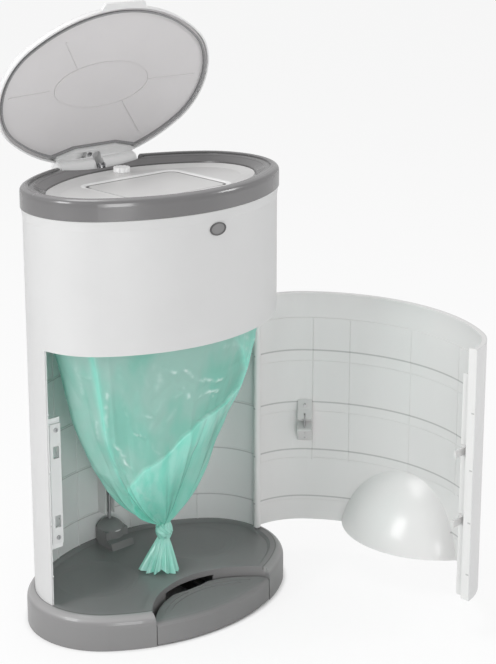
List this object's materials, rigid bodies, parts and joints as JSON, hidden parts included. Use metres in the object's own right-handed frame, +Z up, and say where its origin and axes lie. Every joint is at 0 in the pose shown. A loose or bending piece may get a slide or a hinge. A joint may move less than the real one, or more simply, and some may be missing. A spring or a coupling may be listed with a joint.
{
  "type": "nappy bin",
  "caption": "Oval pedal bin for nappies with a hinged lid, a front door on a side pivot, and a hanging film bag inside.",
  "frame": {"origin": "Middle of the bin's plan, on the floor that the base stands on.", "axes": "+Z is up, -Y is the front with the pedal and the door, +X is the side of the door pivot, and the lid hinge is at +Y."},
  "size_m": [0.5595, 0.5461, 0.8761],
  "materials": {
    "white_plastic": "satin moulded white plastic",
    "mid_grey_plastic": "fine-grained mid-grey plastic",
    "light_grey_plastic": "smooth light-grey plastic",
    "dark_grey_plastic": "moulded dark-grey plastic",
    "seal_rubber": "soft matt seal",
    "pad_rubber": "matt non-slip pads",
    "steel": "plain drawn steel",
    "mint_film": "thin glossy mint-green film"
  },
  "bodies": {
    "casing": {"base": "mid_grey_plastic", "base_pads": "pad_rubber", "pedal_pin": "steel", "rod_housing": "mid_grey_plastic", "body_shell": "white_plastic", "rod_guide": "white_plastic", "strike_plate": "white_plastic", "strike_screws": "steel", "door_pins": "steel", "front_badge": "mid_grey_plastic", "top_ring": "mid_grey_plastic", "hinge_ears": "mid_grey_plastic", "lid_pin": "steel", "inlet_tray": "white_plastic", "film_ring": "light_grey_plastic", "bag": "mint_film"},
    "lid": {"lid_shell": "white_plastic", "lid_panel": "light_grey_plastic", "lid_seal": "seal_rubber", "lid_arm": "white_plastic", "lid_crank": "steel", "arm_screw": "steel"},
    "pedal": {"pedal_tread": "mid_grey_plastic", "pedal_lever": "dark_grey_plastic"},
    "rod": {"push_rod": "steel"},
    "flap": {"trap_flap": "white_plastic"},
    "knob": {"lock_knob": "white_plastic", "lock_cam": "white_plastic"},
    "door": {"door_panel": "white_plastic", "door_latches": "white_plastic", "cutter_housing": "white_plastic", "cutter_blade": "steel", "cutter_screws": "steel"}
  },
  "joints": [
    {"name": "lid_hinge", "type": "hinge", "parent": "casing", "child": "lid", "pos_m": [0, 0.127, 0.627], "axis": [1, 0, 0], "range_deg": [0, 70]},
    {"name": "pedal_pivot", "type": "hinge", "parent": "casing", "child": "pedal", "pos_m": [0, 0.02, 0.016], "axis": [1, 0, 0], "range_deg": [-8.15, 0]},
    {"name": "rod_slide", "type": "slide", "parent": "casing", "child": "rod", "axis": [0, 0, 1], "range_m": [-0.01377, 0]},
    {"name": "flap_hinge", "type": "hinge", "parent": "casing", "child": "flap", "pos_m": [0, 0.047, 0.617], "axis": [1, 0, 0], "range_deg": [0, 75], "stiffness_Nm_per_rad": 0.15, "springref_deg": -22.92},
    {"name": "knob_turn", "type": "hinge", "parent": "casing", "child": "knob", "pos_m": [0.012, 0.086, 0.6285], "axis": [0, 0, 1], "range_deg": [0, 90]},
    {"name": "door_hinge", "type": "hinge", "parent": "casing", "child": "door", "pos_m": [0.1945, -0.005, 0.238], "axis": [0, 0, 1], "range_deg": [-96, 0]}
  ],
  "couplings": [
    {"joint": "pedal_pivot", "follows": "lid_hinge", "ratio": -0.11635},
    {"joint": "rod_slide", "follows": "lid_hinge", "m_per_rad": -0.011267}
  ]
}
